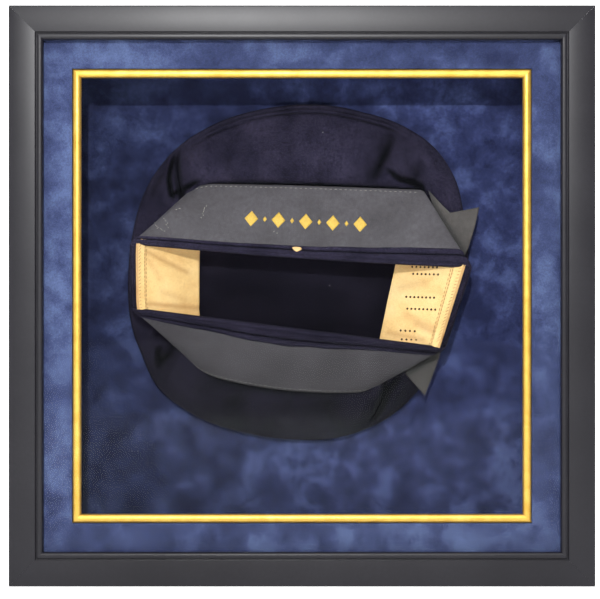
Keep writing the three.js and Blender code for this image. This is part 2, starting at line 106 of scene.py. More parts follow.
# A material under way: its nodes are added from the surface's place and noise to the shader's sockets.
class Paint:
    def __init__(self, name):
        self.material = bpy.data.materials.new(name)
        self.material.use_nodes = True
        self.nodes = self.material.node_tree.nodes
        self.links = self.material.node_tree.links
        self.shader = self.nodes["Principled BSDF"]
        self.at = self.place()

    def feed(self, socket, value):
        if isinstance(value, bpy.types.NodeSocket):
            self.links.new(value, socket)
        else:
            socket.default_value = (*value, 1) if socket.type == "RGBA" else value

    def node(self, kind, inputs, **settings):
        node = self.nodes.new("ShaderNode" + kind)
        for key, value in settings.items():
            setattr(node, key, value)
        for key, value in inputs.items():
            self.feed(node.inputs[key], value)
        return node

    def place(self, scale=(1, 1, 1), turned=(0, 0, 0), source="Object", moved=(0, 0, 0)):
        start = self.node("TexCoord", {}).outputs[source]
        inputs = {"Scale": scale, "Rotation": turned, "Location": moved, "Vector": start}
        return self.node("Mapping", inputs).outputs["Vector"]

    def noise(self, scale, detail=4, rough=0.55, distortion=0, at=None):
        inputs = {"Scale": scale, "Detail": detail, "Roughness": rough, "Distortion": distortion}
        return self.node("TexNoise", {**inputs, "Vector": self.at if at is None else at}).outputs["Fac"]

    # Each stop is a place and a colour, or a place and one number for a grey.
    def ramp(self, factor, *stops):
        ramp = self.node("ValToRGB", {"Fac": factor})
        elements = ramp.color_ramp.elements
        for k, (position, colour) in enumerate(stops):
            element = elements[k] if k < 2 else elements.new(position)
            element.position = position
            element.color = (*(colour if isinstance(colour, tuple) else (colour,) * 3), 1)
        return ramp.outputs["Color"]

    def blend(self, factor, first, second, kind="MIX"):
        inputs = {"Factor": factor, "A": first, "B": second}
        return self.node("Mix", inputs, data_type="RGBA", blend_type=kind).outputs["Result"]

    def times(self, base, other, share=1.0):
        return self.blend(share, base, other, "MULTIPLY")

    def maths(self, first, second, kind="ADD"):
        return self.node("Math", {0: first, 1: second}, operation=kind).outputs["Value"]

    # Painted light and shade: darkens or lightens a colour along an axis of the part, between two places on
    # it.
    def shadeAlong(self, base, axis, span, low, high):
        split = self.node("SeparateXYZ", {"Vector": self.at})
        inputs = {"From Min": span[0], "From Max": span[1], "Value": split.outputs[axis]}
        reach = self.node("MapRange", inputs).outputs["Result"]
        return self.times(base, self.ramp(reach, (0, low), (1, high)))

    # Painted shade: darkens a colour where the grid's own crease attribute marks folds and other places in
    # shade.
    def paintCreaseShade(self, base, colour, share):
        crease = self.node("Attribute", {}, attribute_name="crease").outputs["Fac"]
        return self.blend(self.maths(crease, share, "MULTIPLY"), base, colour)

    def bump(self, height, distance, strength):
        bump = self.node("Bump", {"Distance": distance, "Strength": strength, "Height": height})
        self.feed(self.shader.inputs["Normal"], bump.outputs["Normal"])

    def finish(self, base, **values):
        self.feed(self.shader.inputs["Base Color"], base)
        for key, value in values.items():
            self.feed(self.shader.inputs[shaderSockets[key]], value)
        return self.material


shaderSockets = {"rough": "Roughness", "metal": "Metallic", "specular": "Specular IOR Level",
                 "sheen": "Sheen Weight", "sheenRough": "Sheen Roughness", "sheenTint": "Sheen Tint",
                 "glowColour": "Emission Color", "glow": "Emission Strength"}
# The crease colour is painted shade in folds; the last two values darken the wool towards its bottom as
# painted shade.
woolLook = {"dark": (0.0085, 0.0072, 0.0165), "light": (0.031, 0.026, 0.05), "lint": (0.2, 0.19, 0.2),
            "crease": (0.001, 0.001, 0.002), "sheen": 0.03, "nap": 620, "lintShare": 0.02,
            "foot": 0.4, "paintedShadeHigh": 1.0}


# Felted wool: a mottled nap and a few specks of lint, with painted shade towards the bottom and in its folds.
def woolMaterial(name="navyWool", dim=1.0):
    paint = Paint(name)
    nap, cloud = paint.noise(woolLook["nap"], 3, 0.7), paint.noise(38, 5, 0.6)
    dark, light = (tuple(c * dim for c in woolLook[key]) for key in ("dark", "light"))
    base = paint.ramp(cloud, (0.3, dark), (0.72, light))
    base = paint.times(base, paint.ramp(nap, (0.3, 0.5), (0.75, 1.6)))
    # Painted shade: darker towards the bottom of the part.
    base = paint.shadeAlong(base, "Z", (0.12, 0.25), woolLook["foot"], woolLook["paintedShadeHigh"])
    specks = paint.node("TexVoronoi", {"Scale": 210, "Vector": paint.at})
    chosen = paint.node("SeparateColor", {"Color": specks.outputs["Color"]})
    near = paint.maths(specks.outputs["Distance"], 0.09, "LESS_THAN")
    few = paint.maths(chosen.outputs["Red"], woolLook["lintShare"], "LESS_THAN")
    base = paint.blend(paint.maths(near, few, "MULTIPLY"), base, woolLook["lint"])
    base = paint.paintCreaseShade(base, woolLook["crease"], 0.96)
    paint.bump(paint.maths(nap, paint.maths(cloud, 1.2, "MULTIPLY")), 0.00025, 0.5)
    return paint.finish(base, rough=0.95, specular=0.08, sheen=woolLook["sheen"], sheenRough=0.5,
                        sheenTint=(0.5, 0.52, 0.7))


# The two values after the scratch colour darken the ribbon towards its bottom as painted shade.
ribbonLook = {"dark": (0.05, 0.044, 0.052), "light": (0.094, 0.085, 0.1), "stain": (0.028, 0.025, 0.028),
              "rib": 0.00085, "rough": 0.62, "scratch": (0.33, 0.29, 0.24), "foot": 0.62, "paintedShadeHigh": 0.94,
              "stainAt": (-0.041, 0.006, 0.256), "stainSize": (0.016, 0.03, 0.009)}


# Ribbon: fine ribs across, faded in patches, with a few rubbed scratches, and painted shade towards the
# bottom and in creases. Its UV map is in metres.
def ribbonMaterial(name="fadedRibbon", tint=(1, 1, 1), worn=True):
    paint = Paint(name)
    cloud, fine = paint.noise(30, 6, 0.62), paint.noise(420, 3, 0.6)
    dark, light = (tuple(c * t for c, t in zip(ribbonLook[key], tint)) for key in ("dark", "light"))
    base = paint.ramp(cloud, (0.28, dark), (0.7, light))
    base = paint.times(base, paint.ramp(fine, (0.3, 0.82), (0.7, 1.16)))
    # Painted shade: darker towards the bottom of the part.
    base = paint.shadeAlong(base, "Z", (0.13, 0.25), ribbonLook["foot"], ribbonLook["paintedShadeHigh"])
    ribs = paint.node("TexWave", {"Scale": 0.314 / ribbonLook["rib"], "Distortion": 0.25,
                                  "Vector": paint.place(source="UV")}).outputs["Fac"]
    base = paint.times(base, paint.ramp(ribs, (0.1, 0.35), (0.9, 1.0)), 0.1)
    if worn:
        size = ribbonLook["stainSize"]
        middle = tuple(-c / r for c, r in zip(ribbonLook["stainAt"], size))
        centred = paint.place(tuple(1 / r for r in size), moved=middle)
        reach = paint.node("VectorMath", {0: centred}, operation="LENGTH").outputs["Value"]
        edge = paint.maths(reach, paint.maths(cloud, 1.4, "MULTIPLY"))
        base = paint.blend(paint.ramp(edge, (0.35, 0.55), (1.0, 0)), base, ribbonLook["stain"])
        streaks = paint.noise(1, 2, 0.5, at=paint.place((1100, 70, 1), (0, 0, 0.35), "UV"))
        patches = paint.ramp(paint.noise(26, 2, 0.5), (0.62, 0), (0.7, 1))
        scratch = paint.times(paint.ramp(streaks, (0.66, 0), (0.74, 1)), patches)
        weak = paint.node("SeparateColor", {"Color": scratch}).outputs["Red"]
        base = paint.blend(paint.maths(weak, 0.35, "MULTIPLY"), base, ribbonLook["scratch"])
    # Painted shade in creases, where the grid marks them.
    base = paint.paintCreaseShade(base, woolLook["crease"], 0.85)
    paint.bump(paint.maths(ribs, paint.maths(fine, 0.8, "MULTIPLY")), 0.00006, 0.3)
    return paint.finish(base, rough=ribbonLook["rough"], specular=0.35, sheen=0.12, sheenRough=0.4)


# The crease colour is painted shade in the leather's creases and close under the hem.
leatherLook = {"shades": ((0.76, 0.45, 0.165), (0.9, 0.59, 0.25), (0.94, 0.68, 0.34)),
               "crease": (0.36, 0.15, 0.045)}


def leatherMaterial(name="tanLeather"):
    paint = Paint(name)
    grain = paint.node("TexVoronoi", {"Scale": 900, "Vector": paint.at}, feature="DISTANCE_TO_EDGE")
    grain = grain.outputs["Distance"]
    cloud, fine = paint.noise(45, 5, 0.6), paint.noise(600, 3, 0.6)
    base = paint.ramp(cloud, *zip((0.25, 0.5, 0.8), leatherLook["shades"]))
    base = paint.times(base, paint.ramp(fine, (0.3, 0.93), (0.7, 1.05)))
    base = paint.times(base, paint.ramp(grain, (0, 0.8), (0.1, 1)), 0.6)
    base = paint.paintCreaseShade(base, leatherLook["crease"], 0.75)
    height = paint.maths(paint.maths(grain, 0.05, "MINIMUM"), paint.maths(fine, 0.03, "MULTIPLY"))
    paint.bump(height, 0.0012, 0.5)
    return paint.finish(base, rough=paint.ramp(cloud, (0.3, 0.5), (0.7, 0.64)))


suedeLook = {"deep": (0.012, 0.0155, 0.06), "mid": (0.028, 0.036, 0.118), "pale": (0.062, 0.082, 0.22)}


# Suede: short nap brushed into cloudy patches, with painted light and shade from left to right.
def suedeMaterial(name="blueSuede", cloudy=1.0, lift=(0.95, 0.95, 0.9), left=0.5):
    paint = Paint(name)
    clouds, broad = paint.noise(62, 5, 0.6, 0.2), paint.noise(12, 3, 0.5, 0.3)
    nap = paint.noise(700, 2, 0.6)
    factor = paint.maths(paint.maths(clouds, cloudy, "MULTIPLY"), paint.maths(broad, 0.5, "MULTIPLY"))
    deep, mid, pale = (tuple(c * f for c, f in zip(colour, lift)) for colour in suedeLook.values())
    low = 0.5 * cloudy + 0.25
    base = paint.ramp(factor, (low - 0.17, deep), (low, mid), (low + 0.17, pale))
    base = paint.times(base, paint.ramp(nap, (0.3, 0.8), (0.7, 1.2)))
    # Painted light and shade: the left side is scaled by the left value, darker below one and lighter above
    # it.
    base = paint.shadeAlong(base, "X", (-0.16, 0.03), left, 1)
    paint.bump(nap, 0.0002, 0.35)
    return paint.finish(base, rough=0.9, specular=0.2, sheen=0.1, sheenRough=0.45, sheenTint=(0.6, 0.7, 1))


def lacquerMaterial(name="charcoalLacquer"):
    paint = Paint(name)
    cloud, fine = paint.noise(14, 4, 0.5), paint.noise(500, 4, 0.6)
    base = paint.ramp(cloud, (0.3, (0.006, 0.0056, 0.0078)), (0.7, (0.0095, 0.009, 0.0118)))
    base = paint.times(base, paint.ramp(fine, (0.35, 0.9), (0.7, 1.12)))
    paint.bump(fine, 0.00002, 0.2)
    return paint.finish(base, rough=paint.ramp(cloud, (0.3, 0.34), (0.7, 0.38)), specular=0.2)


def giltMaterial(name="giltLeaf"):
    paint = Paint(name)
    cloud, fine = paint.noise(120, 5, 0.6), paint.noise(900, 3, 0.6)
    paint.bump(paint.maths(cloud, fine), 0.00015, 0.5)
    base = paint.ramp(cloud, (0.3, (0.78, 0.42, 0.06)), (0.7, (0.95, 0.6, 0.12)))
    return paint.finish(base, rough=paint.ramp(fine, (0.3, 0.3), (0.7, 0.42)), metal=0.7)


def paperMaterial(name="brownPaper"):
    paint = Paint(name)
    fibres, cloud = paint.noise(220, 5, 0.65, at=paint.place((1, 1, 9))), paint.noise(16, 4, 0.55)
    base = paint.ramp(cloud, (0.3, (0.17, 0.112, 0.06)), (0.7, (0.25, 0.17, 0.098)))
    base = paint.times(base, paint.ramp(fibres, (0.3, 0.82), (0.7, 1.14)))
    paint.bump(paint.maths(fibres, cloud), 0.0003, 0.6)
    return paint.finish(base, rough=0.82)


# Clear glass that mirrors a little more at a slant, the same from either face. Its see-through colour is a
# little darker than clear, a painted shade over everything behind it.
def glassMaterial(name="clearGlass"):
    paint = Paint(name)
    paint.nodes.remove(paint.shader)
    clear = paint.node("BsdfTransparent", {"Color": (0.905, 0.915, 0.91)})
    smear = paint.ramp(paint.noise(11, 5, 0.6, 0.8), (0.35, 0.015), (0.75, 0.05))
    gloss = paint.node("BsdfGlossy", {"Color": (0.07, 0.075, 0.075), "Roughness": smear})
    steep = paint.maths(paint.node("LayerWeight", {"Blend": 0.5}).outputs["Facing"], 5, "POWER")
    mirrored = paint.maths(paint.maths(steep, 0.966, "MULTIPLY"), 0.034)
    both = paint.node("MixShader", {"Fac": mirrored, 1: clear.outputs["BSDF"], 2: gloss.outputs["BSDF"]})
    paint.feed(paint.nodes["Material Output"].inputs["Surface"], both.outputs["Shader"])
    return paint.material


def threadMaterial(name, colour, rough=0.6):
    paint = Paint(name)
    twist = paint.noise(1600, 2, 0.6)
    paint.bump(twist, 0.0002, 0.7)
    dark = tuple(c * 0.62 for c in colour)
    return paint.finish(paint.ramp(twist, (0.3, dark), (0.65, colour)), rough=rough)


wool = woolMaterial()
hemWool = woolMaterial("hemWool", 1.25)
# A dimmer copy of the wool for the crown's inside, as painted shade.
shadedTipWool = woolMaterial("shadedTipWool", 0.5)
ribbon = ribbonMaterial()
tailRibbon = ribbonMaterial("tailRibbon", (0.86, 0.82, 0.68), False)
leather = leatherMaterial()
edging = leatherMaterial("edgingLeather")
suede = suedeMaterial()
matSuede = suedeMaterial("matSuede", 0.65, (1.4, 1.4, 1.1), 1.08)
lacquer = lacquerMaterial()
gilt = giltMaterial()
paper = paperMaterial()
glass = glassMaterial()
paleThread = threadMaterial("paleThread", (0.33, 0.3, 0.27))
tanThread = threadMaterial("tanThread", (0.46, 0.28, 0.11))
rubbedThread = threadMaterial("rubbedThread", (0.72, 0.66, 0.54))
goldThread = threadMaterial("goldThread", (0.78, 0.5, 0.075), 0.5)
# Dark colour for the punched holes: painted shade where the holes are.
holeShade = threadMaterial("punchedHoleShade", (0.08, 0.04, 0.018), 0.9)

print("stage 2: the band's rings")

# The band's corners, anticlockwise from the lower right, as in the part's source.
bandCorners = [
    {"seam": (0.64, -0.97), "mouth": (0.836, -1.125), "round": 0.6, "bow": 0},
    {"seam": (1.0, 1.06), "mouth": (0.992, 0.569), "round": 0.2, "bow": 0.01},
    {"seam": (-1, 1.12), "mouth": (-1.011, 1.066), "round": 0.85, "bow": 0.02},
    {"seam": (-1.01, -0.746), "mouth": (-1.006, -0.29), "round": 1, "bow": 0.11},
]
sideCount = len(bandCorners)


def cornersOf(ring):
    return [Vector((c[ring][0] * cap[ring + "HalfLength"], c[ring][1] * cap[ring + "HalfHeight"]))
            for c in bandCorners]


seamCorners, mouthCorners = cornersOf("seam"), cornersOf("mouth")
seamRounds = [c["round"] * cap["seamRound"] for c in bandCorners]
mouthRounds = [cap["mouthRound"]] * sideCount
seamBows = [c["bow"] for c in bandCorners]
mouthBows = [0, -0.024, 0, 0]
bandRise = cap["mouthHeight"] - cap["seamHeight"]


def sideOut(corners, k):
    a, b = corners[k % sideCount], corners[(k + 1) % sideCount]
    return Vector((b.y - a.y, a.x - b.x)).normalized()


def wallRun(k):
    seamMiddle = (seamCorners[k] + seamCorners[(k + 1) % sideCount]) / 2
    mouthMiddle = (mouthCorners[k] + mouthCorners[(k + 1) % sideCount]) / 2
    return (mouthMiddle - seamMiddle).dot(sideOut(seamCorners, k))


wallRuns = [wallRun(k) for k in range(sideCount)]
wallSlants = [hypot(run, bandRise) for run in wallRuns]


def movedCorners(corners, moves):
    moved = []
    for k, corner in enumerate(corners):
        a, b = sideOut(corners, k - 1 + sideCount), sideOut(corners, k)
        share = a.x * b.y - a.y * b.x
        moved.append(corner + Vector(((moves[k - 1] * b.y - moves[k] * a.y) / share,
                                      (moves[k] * a.x - moves[k - 1] * b.x) / share)))
    return moved


def layerCorners(corners, distance):
    return movedCorners(corners, [slant / bandRise * distance for slant in wallSlants])


def ringPoint(corners, rounds, bows, u):
    place = (u % 1) * sideCount
    side = int(place) % sideCount
    t = place - int(place)
    start, end = corners[side], corners[(side + 1) % sideCount]
    length = (end - start).length
    startReach, endReach = rounds[side] / length, rounds[(side + 1) % sideCount] / length

    def bent(k, share):
        corner = corners[k % sideCount]
        before, after = corners[(k - 1) % sideCount], corners[(k + 1) % sideCount]
        before = corner.lerp(before, rounds[k % sideCount] / (corner - before).length)
        after = corner.lerp(after, rounds[k % sideCount] / (corner - after).length)
        return before * (1 - share) ** 2 + after * share ** 2 + corner * 2 * share * (1 - share)

    if t < startReach:
        point = bent(side, 0.5 + 0.5 * t / startReach)
    elif t > 1 - endReach:
        point = bent(side + 1, 0.5 - 0.5 * (1 - t) / endReach)
    else:
        point = start.lerp(end, t)
    return point + sideOut(corners, side) * (bows[side] * cap["seamHalfHeight"] * sin(pi * t))


# Every wall is cut square at the mouth: how much higher the rim lies for each millimetre out from the cloth
def rimRise(u):
    place = (u % 1) * sideCount
    side = int(place) % sideCount
    t = place - int(place)
    near = (side - 1 if t < 0.5 else side + 1) % sideCount
    here, there = -wallRuns[side] / wallSlants[side], -wallRuns[near] / wallSlants[near]
    return mix((here + there) / 2, here, smooth(between(min(t, 1 - t), 0, 0.03)))


# A layer's face from the crown seam, v = 0, to the mouth, v = 1, a distance out from the cloth.
def bandFace(distance):
    seam = layerCorners(seamCorners, distance)
    mouth = movedCorners(mouthCorners, [distance * bandRise / slant for slant in wallSlants])

    def face(u, v):
        at = ringPoint(seam, seamRounds, seamBows, u).lerp(ringPoint(mouth, mouthRounds, mouthBows, u), v)
        rim = cap["mouthHeight"] + distance * rimRise(u)
        return Vector((at.x, at.y, mix(cap["seamHeight"], rim, v)))

    return face


def faceNormal(face, u, v, step=0.0015):
    alongU = face(u + step, v) - face(u - step, v)
    alongV = face(u, v + step) - face(u, v - step)
    return alongU.cross(alongV).normalized()


# Rings run closer together round the corners.
def bunched(share):
    place = share * sideCount
    side = int(min(place, sideCount - 1e-9))
    t = place - side
    return (side + mix(t, 0.5 - 0.5 * cos(pi * t), 0.6)) / sideCount


# A grid set by a face of u and v, closed into a ring where it goes round. Its UV map is in metres.
def clothGrid(name, face, across, down, material, ring=True, vFrom=0.0, vTo=1.0, lift=None, uvSize=None,
              shade=None):
    mesh = bmesh.new()
    # The crease attribute holds painted shade, 0 to 1, given by shade.
    creaseShadeLayer = mesh.verts.layers.float.new("crease") if shade else None
    bmesh.ops.create_grid(mesh, x_segments=across, y_segments=down, size=0.5)
    uvLayer = mesh.loops.layers.uv.new("UVMap")
    shares = {}
    for vert in mesh.verts:
        shares[vert] = (vert.co.x + 0.5, vert.co.y + 0.5)
    spanU, spanV = uvSize or (0.7, 0.05)
    for meshFace in mesh.faces:
        for loop in meshFace.loops:
            s, t = shares[loop.vert]
            loop[uvLayer].uv = (s * spanU, t * spanV)
    for vert, (s, t) in shares.items():
        u = bunched(s) if ring else s
        v = mix(vFrom, vTo, t)
        point = face(u % 1 if ring else u, v)
        proud = lift(u, v, point) if lift else 0
        if abs(proud) > 1e-4:
            point = point + faceNormal(face, u, v) * proud
        vert.co = capPoint(*point)
        if shade:
            vert[creaseShadeLayer] = shade(u, v, point)
    if ring:
        bmesh.ops.remove_doubles(mesh, verts=mesh.verts, dist=1e-6)
    return finishMesh(mesh, name, material)


def finishMesh(mesh, name, material):
    for face in mesh.faces:
        face.smooth = True
    data = bpy.data.meshes.new(name)
    mesh.to_mesh(data)
    mesh.free()
    piece = bpy.data.objects.new(name, data)
    bpy.context.scene.collection.objects.link(piece)
    data.materials.append(material)
    return piece


# Opens a piece's mesh for a change, and closes it again.
def rework(piece, change):
    mesh = bmesh.new()
    mesh.from_mesh(piece.data)
    change(mesh)
    mesh.to_mesh(piece.data)
    mesh.free()


def wall(piece, thickness, offset=-1):
    solid = piece.modifiers.new("wall", "SOLIDIFY")
    solid.thickness = thickness * mm
    solid.offset = offset
    solid.use_even_offset = False
    solid.use_quality_normals = True
    return piece


def settle(piece, slotName, *nodes):
    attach(piece, "root")
    if nodes:
        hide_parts(*nodes)
    return piece


print("stage 3: crown")
crownOutline = [
    (0, 0.997), (20, 1.034), (30, 1.07), (42, 1.08), (56, 1.045), (68, 1.004), (90, 0.975), (104, 0.972),
    (120, 0.99), (137, 1.012), (152, 1.01), (168, 0.994), (182, 0.997), (200, 1.03), (208, 1.04), (220, 1.07),
    (234, 1.045), (250, 1.006), (266, 0.993), (284, 1.01), (300, 1.015), (312, 1.003), (330, 0.968),
    (345, 0.97),
]
crownPuff = [(0, 0.25), (26, 0.3), (55, 0.95), (90, 0.75), (120, 1), (150, 0.5), (180, 0.25), (208, 0.35),
             (235, 0.95), (270, 0.85), (295, 0.95), (318, 0.35)]
crownLook = {"puff": 9, "slack": 0.45, "full": 0.9, "fold": 4.5, "across": 560, "down": 56,
             "weltFrom": 56, "weltTo": 127, "weltInset": 6.2, "dent": 0.9}
# Creases: angle at the seam and at the edge, spread in degrees, depth (below zero is a ridge), start, end
crownFolds = [
    (150, 134.5, 1.7, 1.9, 0.12, 0.97), (143, 128, 3.6, -1.0, 0.15, 0.98), (157, 141, 3.2, -0.45, 0.2, 0.95),
    (51, 58, 3.2, 0.9, 0.08, 0.9), (44, 50, 3.8, -0.6, 0.3, 0.98), (34, 45, 2.2, 1.0, 0.35, 1),
    (209, 216, 1.9, 1.3, 0.25, 1), (202, 206, 1.7, 0.8, 0.3, 0.95), (215, 222, 3, -0.5, 0.25, 0.95),
    (312, 293, 2.2, 1.7, 0.12, 1), (322, 304, 4, -0.8, 0.2, 0.95), (303, 286, 4, -0.4, 0.2, 0.95),
    (284, 280, 2.8, 0.7, 0.35, 1), (268, 264, 2.6, 0.6, 0.45, 1), (276, 272, 3.5, -0.3, 0.4, 1),
    (96, 94, 4, 0.4, 0.3, 0.95), (114, 112, 3, 0.35, 0.45, 1), (76, 78, 3, 0.4, 0.5, 1),
    (246, 243, 3, 0.6, 0.35, 1), (231, 230, 2.6, 0.5, 0.4, 1), (126, 120, 3, 0.45, 0.5, 1),
    (0, 0, 3.5, 0.4, 0.3, 0.9), (175, 174, 3.5, 0.4, 0.3, 0.9), (336, 330, 3, 0.4, 0.4, 0.95),
]


# Pleats and pockets inside the edge: their line (x, y) on the cap, spread, depth, the height of the lobe of
# wool beside it, on the left of the line as it runs, and how much painted shade lies in the pocket
crownPleats = [
    ([(-88.3, 96), (-90.5, 85.9), (-91.1, 78.3), (-90, 70.6), (-88.3, 65.1)], 1.5, 4.6, 3.2, 1),
    ([(-88.5, 68), (-80, 72.6), (-70, 77.6)], 1.5, 2.4, 0.8, 1),
    ([(-94, 86), (-101, 76), (-104, 66)], 2.2, 1.6, 0.8, 0.4),
    ([(57, 85), (66.3, 78.6), (75.2, 76.9), (81.2, 73.7), (83.5, 68.1)], 1.4, 3.6, 3.2, 1.1),
    ([(62.9, 109), (48.4, 77.6)], 2.4, 1.9, 1.3, 0.6),
    ([(85, 68), (92, 60), (100, 54)], 1.5, 2.2, 1.6, 0.8),
    ([(-96.3, -35.3), (-99.3, -38.7), (-99.3, -47.6)], 1.6, 2.4, 1.2, 0.8),
    ([(-99.3, -47.6), (-89.4, -40.8)], 1.6, 1.8, 0.6, 0.6),
    ([(67, -54), (58, -66), (54, -76), (49.4, -86)], 1.8, 3.8, 2.4, 1),
    ([(5, -75.5), (28, -75)], 3.2, 1.1, 0.8, 0.3),
]


# Height change from the pleats at a place, and how much painted shade lies there.
def pleatAt(x, y):
    total = dark = 0
    for line, spread, depth, lobe, shadow in crownPleats:
        if not (min(px for px, py in line) - 20 < x < max(px for px, py in line) + 20):
            continue
        best = None
        steps = len(line) - 1
        for k in range(steps):
            (ax, ay), (bx, by) = line[k], line[k + 1]
            dx, dy = bx - ax, by - ay
            size = hypot(dx, dy)
            t = ((x - ax) * dx + (y - ay) * dy) / size ** 2
            held = min(1, max(0, t))
            away = hypot(x - ax - dx * held, y - ay - dy * held)
            side = 1 if dx * (y - ay) - dy * (x - ax) > 0 else -1
            if best is None or away < best[0]:
                best = (away, side, (k + held) / steps)
        away, side, along = best
        ease = 0.25 + 0.75 * sin(pi * min(1, max(0, along))) ** 0.6
        total -= ease * depth * exp(-(away / spread) ** 2)
        dark += ease * shadow * 1.5 * exp(-(away / spread / 1.3) ** 2)
        total += ease * lobe * exp(-((side * away - 3.4 * spread) / (2.4 * spread)) ** 2)
    return total, dark


def crownAngle(u):
    at = ringPoint(seamCorners, seamRounds, seamBows, u)
    return degrees(atan2(at.y - cap["crownY"], at.x - cap["crownX"]))


def crownEdge(u, inset=0.0):
    angle = crownAngle(u)
    reach = cap["crownRadius"] * roundTable(crownOutline, angle) - inset
    angle = radians(angle)
    return Vector((cap["crownX"] + reach * cos(angle), cap["crownY"] + reach * sin(angle)))


outsideCorners = movedCorners(seamCorners, [0.6] * sideCount)


def foldAt(angle, t):
    depth = 0
    for seam, edge, spread, share, start, end in crownFolds:
        away = turnBetween(angle, mix(edge, seam, t)) / spread
        if abs(away) < 4:
            ease = smooth(between(t, start - 0.15, start + 0.15)) * smooth(between(t, end + 0.1, end))
            depth += share * ease * exp(-abs(away) ** 1.6)
    return depth * crownLook["fold"]


def crownSideFace(u, t):
    at = crownEdge(u).lerp(ringPoint(outsideCorners, seamRounds, seamBows, u), t)
    angle = crownAngle(u)
    share = roundTable(crownPuff, angle)
    t = between(t, 0, 1)
    full = sin(pi * t ** mix(crownLook["slack"], crownLook["full"], share))
    roll = (1 - (1 - t) ** 1.7) * (1 - t ** 9)
    rise = crownLook["puff"] * share * mix(full, roll, 0.75 * between(share, 0.3, 0.9))
    fold = foldAt(angle, t) * full ** 0.5
    height = mix(cap["edgeHeight"], cap["seamHeight"] - 0.6, t) + rise - fold
    soft = noise.noise(Vector((at.x, at.y, 0)) / 26) * 2.2 + noise.noise(Vector((at.x, at.y, 40)) / 11) * 0.6
    height += (soft * crownLook["dent"] + pleatAt(at.x, at.y)[0]) * full ** 0.5
    return Vector((at.x, at.y, height))


# The edge is double stitched along the top: two grooves that follow the outline.
def weltGroove(u, t, point):
    angle = crownAngle(u) % 360
    ease = smooth(between(angle, crownLook["weltFrom"] - 8, crownLook["weltFrom"] + 4))
    ease *= smooth(between(-angle, -crownLook["weltTo"] - 8, -crownLook["weltTo"] + 4))
    edge = crownEdge(u)
    inset = (Vector((point.x, point.y)) - edge).length
    return -ease * (1.1 * hump(inset, crownLook["weltInset"], 0.7) + 0.8 * hump(inset, 3.1, 0.6)
                    - 0.6 * hump(inset, 4.7, 1.1))


# Painted shade on the crown, 0 to 1: where the wool lies folded against itself and gets little light, along
# the seam, in the welt's grooves and at the edge.
def crownShade(u, t, point):
    fold = max(0, foldAt(crownAngle(u), t)) / 7
    seam = smooth(between(t, 0.945, 0.985)) + 0.45 * smooth(between(t, 0.88, 0.97))
    groove = max(0, -weltGroove(u, t, point)) * 0.8
    edge = 0.5 * smooth(between(t, 0.03, 0))
    return min(1, 0.75 * fold + 0.7 * seam + 0.95 * pleatAt(point.x, point.y)[1] + groove + edge)


crownSide = clothGrid("crownSide", crownSideFace, crownLook["across"], crownLook["down"], wool,
                      lift=weltGroove, uvSize=(0.735, 0.05), shade=crownShade)
settle(wall(crownSide, cap["clothWall"]), "navy_wool", "crown_side")


def crownTipFace(u, v):
    edge = crownEdge(u, 0.5)
    centre = Vector((cap["crownX"], cap["crownY"]))
    bend = 6 / cap["crownRadius"]
    inward = bend * between(v, 0, 0.4) if v < 0.4 else mix(bend, 0.985, between(v, 0.4, 1))
    at = edge.lerp(centre, inward)
    lift = 4.5 * (1 - sin(pi / 2 * between(v, 0, 0.4)) ** 0.7)
    return Vector((at.x, at.y, 0.35 + lift + 0.8 * between(v, 0.4, 0.6) * noise.noise(at.to_3d() / 30) ** 2))


crownTip = clothGrid("crownTip", crownTipFace, 240, 22, shadedTipWool, uvSize=(0.735, 0.115))


def closeMiddle(mesh):
    middle = capPoint(cap["crownX"], cap["crownY"], 0)
    inner = [e for e in mesh.edges if e.is_boundary and (e.verts[0].co - middle).length < 0.02]
    bmesh.ops.holes_fill(mesh, edges=inner, sides=0)


rework(crownTip, closeMiddle)
settle(wall(crownTip, cap["clothWall"], 1), "navy_wool", "crown_tip")

print("stage 4: headband, ribbon and hem")
bandLook = {"across": 400, "down": 30, "ribbonFrom": 0.05, "underHem": 0.8}


def ribbonWaves(u, v, point):
    low = noise.noise(Vector((point.x / 30, point.y / 30, 5))) * 0.5
    return low * sin(pi * between(v, 0, 1)) + 0.12 * noise.noise(Vector((point.x / 7, point.y / 7, 9)))


# How far the hem reaches down each wall from the mouth, by place round the ring.
hemReach = [(0, 9), (0.12, 9), (0.25, 11.6), (0.28, 11.2), (0.337, 9.2), (0.374, 7.7), (0.45, 6.6),
            (0.5, 6.8), (0.75, 8.2), (0.8, 10),
            (0.85, 13.5), (0.875, 14.2), (0.9, 12.5), (0.96, 9), (1, 9)]
clothBand = clothGrid("headbandCloth", bandFace(0), bandLook["across"], 12, wool, vTo=0.86,
                      uvSize=(0.6, 0.045))
settle(wall(clothBand, cap["clothWall"]), "navy_wool", "headband")
ribbonSkin = bandFace(0.45 + cap["ribbonWall"])


def liftedRibbon(u, v):
    point = ribbonSkin(u, v)
    return point + faceNormal(ribbonSkin, u, v) * ribbonWaves(u, v, point)


# The ribbon runs up under the hem, whatever the hem's reach.
def ribbonFace(u, share):
    top = 1 - bandLook["underHem"] * openTable(hemReach, u % 1) / cap["bandWidth"]
    return liftedRibbon(u, mix(bandLook["ribbonFrom"], top, share))


ribbonBand = clothGrid("tallyRibbon", ribbonFace, bandLook["across"], bandLook["down"], ribbon,
                       uvSize=(0.6, 0.04))
settle(wall(ribbonBand, cap["ribbonWall"]), "ribbon", "tally_ribbon")

